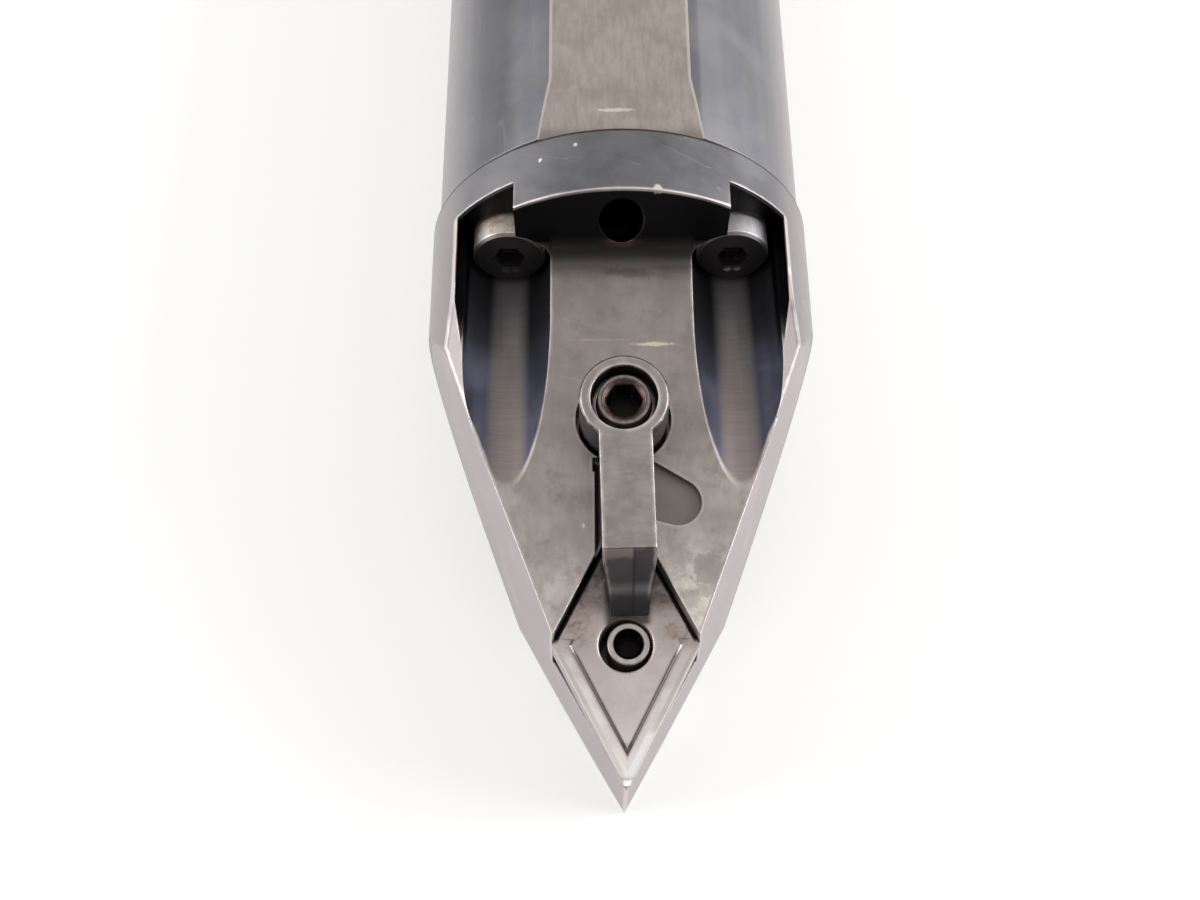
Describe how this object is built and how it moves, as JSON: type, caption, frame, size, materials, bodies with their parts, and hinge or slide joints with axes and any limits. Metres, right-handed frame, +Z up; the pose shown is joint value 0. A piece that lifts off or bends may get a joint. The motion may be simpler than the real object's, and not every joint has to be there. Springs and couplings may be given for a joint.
{
  "type": "boring bar",
  "caption": "Round steel boring bar with a bolted-on neutral profiling head, a clamped diamond insert and a through coolant bore.",
  "frame": {"origin": "on the bar's axis, in the joint face between shank and head", "axes": "+Y along the bar toward its rear end, the nose points to -Y, +Z up through the insert's top face, +X to the right seen from behind the bar"},
  "size_m": [0.0412, 0.3004, 0.0412],
  "materials": {
    "shank_steel": "worn grey finish over ground steel",
    "head_steel": "satin grey, darker in the pockets",
    "screw_steel": "black oxide, worn on the rims",
    "clamp_steel": "satin grey",
    "pin_steel": "satin",
    "carbide": "fine matt ground carbide",
    "shim_carbide": "matt ground",
    "seal_rubber": "matt"
  },
  "bodies": {
    "base": {"shank": "shank_steel", "cutting_head": "head_steel", "head_screw_left": "screw_steel", "head_screw_right": "screw_steel", "head_screw_lower": "screw_steel", "coolant_seal": "seal_rubber", "locating_dowel": "pin_steel", "insert": "carbide", "shim": "shim_carbide"},
    "clamp": {"clamp": "clamp_steel"},
    "clamp_screw": {"clamp_screw": "screw_steel"},
    "lock_pin": {"lock_pin": "pin_steel"}
  },
  "joints": [
    {"name": "clamp_lift", "type": "slide", "parent": "base", "child": "clamp", "axis": [0, -0.1357, 0.9907], "range_m": [0, 0.0032]},
    {"name": "clamp_screw_turn", "type": "hinge", "parent": "base", "child": "clamp_screw", "pos_m": [0, -0.0261, 0.00748], "axis": [0, -0.1357, 0.9907], "range_deg": [0, 720]},
    {"name": "lock_pin_turn", "type": "hinge", "parent": "base", "child": "lock_pin", "pos_m": [0, -0.04776, 0.00186], "axis": [0, -0.1357, 0.9907], "range_deg": [0, 180]}
  ],
  "couplings": [
    {"joint": "clamp_screw_turn", "follows": "clamp_lift", "rad_per_m": 3927}
  ]
}
